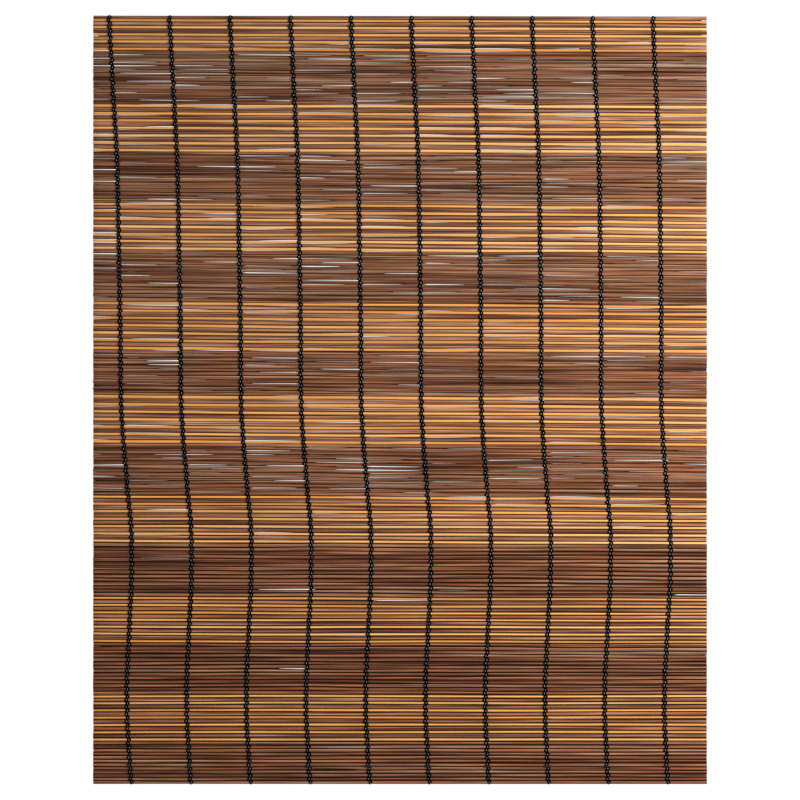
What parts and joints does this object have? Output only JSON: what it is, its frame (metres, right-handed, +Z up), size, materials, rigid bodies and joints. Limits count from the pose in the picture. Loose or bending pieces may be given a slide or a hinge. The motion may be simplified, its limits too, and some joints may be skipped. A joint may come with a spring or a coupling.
{
  "type": "bamboo blind",
  "caption": "Flat bamboo reed blind with light and dark bands held by twined dark threads, hung from a wooden headrail with cord pulleys and a cord lock behind it, and a bottom batten.",
  "frame": {"origin": "centre of the headrail's top face, where it meets the window head", "axes": "+X along the width, to the right seen from the front; -Y out of the front of the mat; +Z up"},
  "size_m": [0.501, 0.032, 0.6275],
  "materials": {
    "light_reed": "satin",
    "dark_reed": "satin",
    "black_thread": "matte",
    "stained_wood": "satin",
    "zinc_steel": "satin",
    "white_nylon": "matte",
    "brass": "satin",
    "black_wire": "satin"
  },
  "bodies": {
    "blind": {"light_band_1": "light_reed", "dark_band_1": "dark_reed", "light_band_2": "light_reed", "dark_band_2": "dark_reed", "light_band_3": "light_reed", "dark_band_3": "dark_reed", "light_band_4": "light_reed", "dark_band_4": "dark_reed", "light_band_5": "light_reed", "dark_band_5": "dark_reed", "light_band_6": "light_reed", "dark_band_6": "dark_reed", "light_band_7": "light_reed", "dark_band_7": "dark_reed", "light_band_8": "light_reed", "dark_band_8": "dark_reed", "warp_thread_1": "black_thread", "warp_thread_2": "black_thread", "warp_thread_3": "black_thread", "warp_thread_4": "black_thread", "warp_thread_5": "black_thread", "warp_thread_6": "black_thread", "warp_thread_7": "black_thread", "warp_thread_8": "black_thread", "warp_thread_9": "black_thread", "warp_thread_10": "black_thread", "headrail": "stained_wood", "bottom_batten": "stained_wood", "headrail_staples": "black_wire", "batten_staples": "black_wire", "left_pulley_bracket": "zinc_steel", "right_pulley_bracket": "zinc_steel", "left_pulley_axle": "zinc_steel", "right_pulley_axle": "zinc_steel", "left_cord_rings": "white_nylon", "right_cord_rings": "white_nylon", "ring_ties": "black_thread", "hardware_screws": "zinc_steel", "lock_housing": "zinc_steel", "lock_guide_pin": "zinc_steel"},
    "left_sheave": {"left_pulley_sheave": "white_nylon"},
    "right_sheave": {"right_pulley_sheave": "white_nylon"},
    "guide_roller": {"lock_guide_roller": "white_nylon"},
    "lock_axle": {"lock_axle": "zinc_steel"},
    "lock_roller": {"lock_roller": "brass"}
  },
  "joints": [
    {"name": "left_sheave_spin", "type": "hinge", "parent": "blind", "child": "left_sheave", "pos_m": [-0.1433, -0.008, -0.0262], "axis": [0, 1, 0], "continuous": true},
    {"name": "right_sheave_spin", "type": "hinge", "parent": "blind", "child": "right_sheave", "pos_m": [0.1527, -0.008, -0.0262], "axis": [0, 1, 0], "continuous": true},
    {"name": "guide_roller_spin", "type": "hinge", "parent": "blind", "child": "guide_roller", "pos_m": [0.216, -0.005, -0.0277], "axis": [0, 1, 0], "continuous": true},
    {"name": "lock_slide", "type": "slide", "parent": "blind", "child": "lock_axle", "axis": [0.5736, 0, 0.8192], "range_m": [0, 0.004]},
    {"name": "lock_roller_spin", "type": "hinge", "parent": "lock_axle", "child": "lock_roller", "pos_m": [0.2244, -0.005, -0.0312], "axis": [0, 1, 0], "continuous": true}
  ]
}
